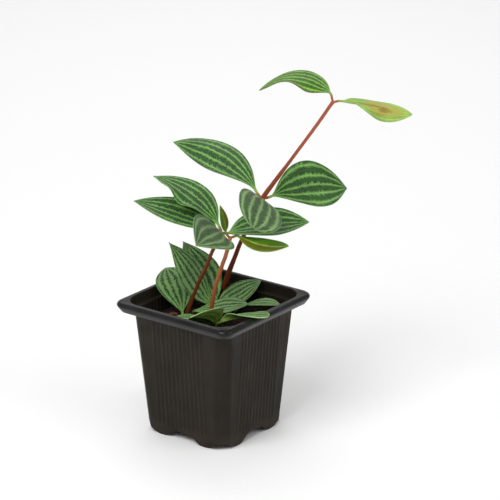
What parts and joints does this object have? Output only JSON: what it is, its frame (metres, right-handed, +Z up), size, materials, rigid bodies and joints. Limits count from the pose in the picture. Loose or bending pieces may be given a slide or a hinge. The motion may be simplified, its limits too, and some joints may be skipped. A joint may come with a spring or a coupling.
{
  "type": "potted peperomia",
  "caption": "Young peperomia with striped oval leaves in whorls on thin red stems, rooted in potting mix in a square ribbed nursery pot.",
  "frame": {"origin": "on the surface that the pot stands on, under the middle of the plant's bounding box", "axes": "+Z up; the pot's sides are square to X and Y; the tall stem leans towards +X and +Y"},
  "size_m": [0.1642, 0.1766, 0.2651],
  "materials": {
    "pot_black": "satin black thermoformed plastic, ribbed walls and smooth rim",
    "potting_mix": "moist dark crumbly potting mix",
    "stem_red": "smooth succulent stem, dark red brown",
    "stem_copper": "smooth succulent stem, light copper red",
    "stem_brown": "smooth succulent stem, dark below and copper red above",
    "leaf_striped": "waxy dark green with lighter feathered stripes along the blade",
    "leaf_grey_green": "waxy grey green with faint lighter stripes",
    "leaf_yellow_green": "waxy yellow green with darker stripes and a tan blotch",
    "leaf_olive": "young waxy olive green with a brighter midrib",
    "leaf_pale": "waxy pale green with darker feathered stripes",
    "leaf_deep_green": "waxy deep green with a thin pale margin"
  },
  "bodies": {
    "root": {"pot": "pot_black", "soil": "potting_mix", "stem_left": "stem_red", "stem_middle": "stem_copper", "stem_tall": "stem_brown", "leaf_top_left": "leaf_striped", "leaf_top_right": "leaf_yellow_green", "leaf_upper_left": "leaf_striped", "leaf_upper_right": "leaf_striped", "leaf_upper_front": "leaf_grey_green", "leaf_middle_upper_left": "leaf_striped", "leaf_middle_left": "leaf_striped", "leaf_middle_front": "leaf_grey_green", "leaf_middle_right": "leaf_striped", "leaf_young_upright": "leaf_olive", "leaf_young_right": "leaf_olive", "base_leaf_left": "leaf_pale", "base_leaf_back_left": "leaf_pale", "base_leaf_back": "leaf_pale", "base_leaf_back_right": "leaf_pale", "base_leaf_middle": "leaf_pale", "base_leaf_right": "leaf_pale", "base_leaf_front": "leaf_deep_green", "base_leaf_front_right": "leaf_deep_green", "base_leaf_front_left": "leaf_deep_green"}
  },
  "joints": []
}
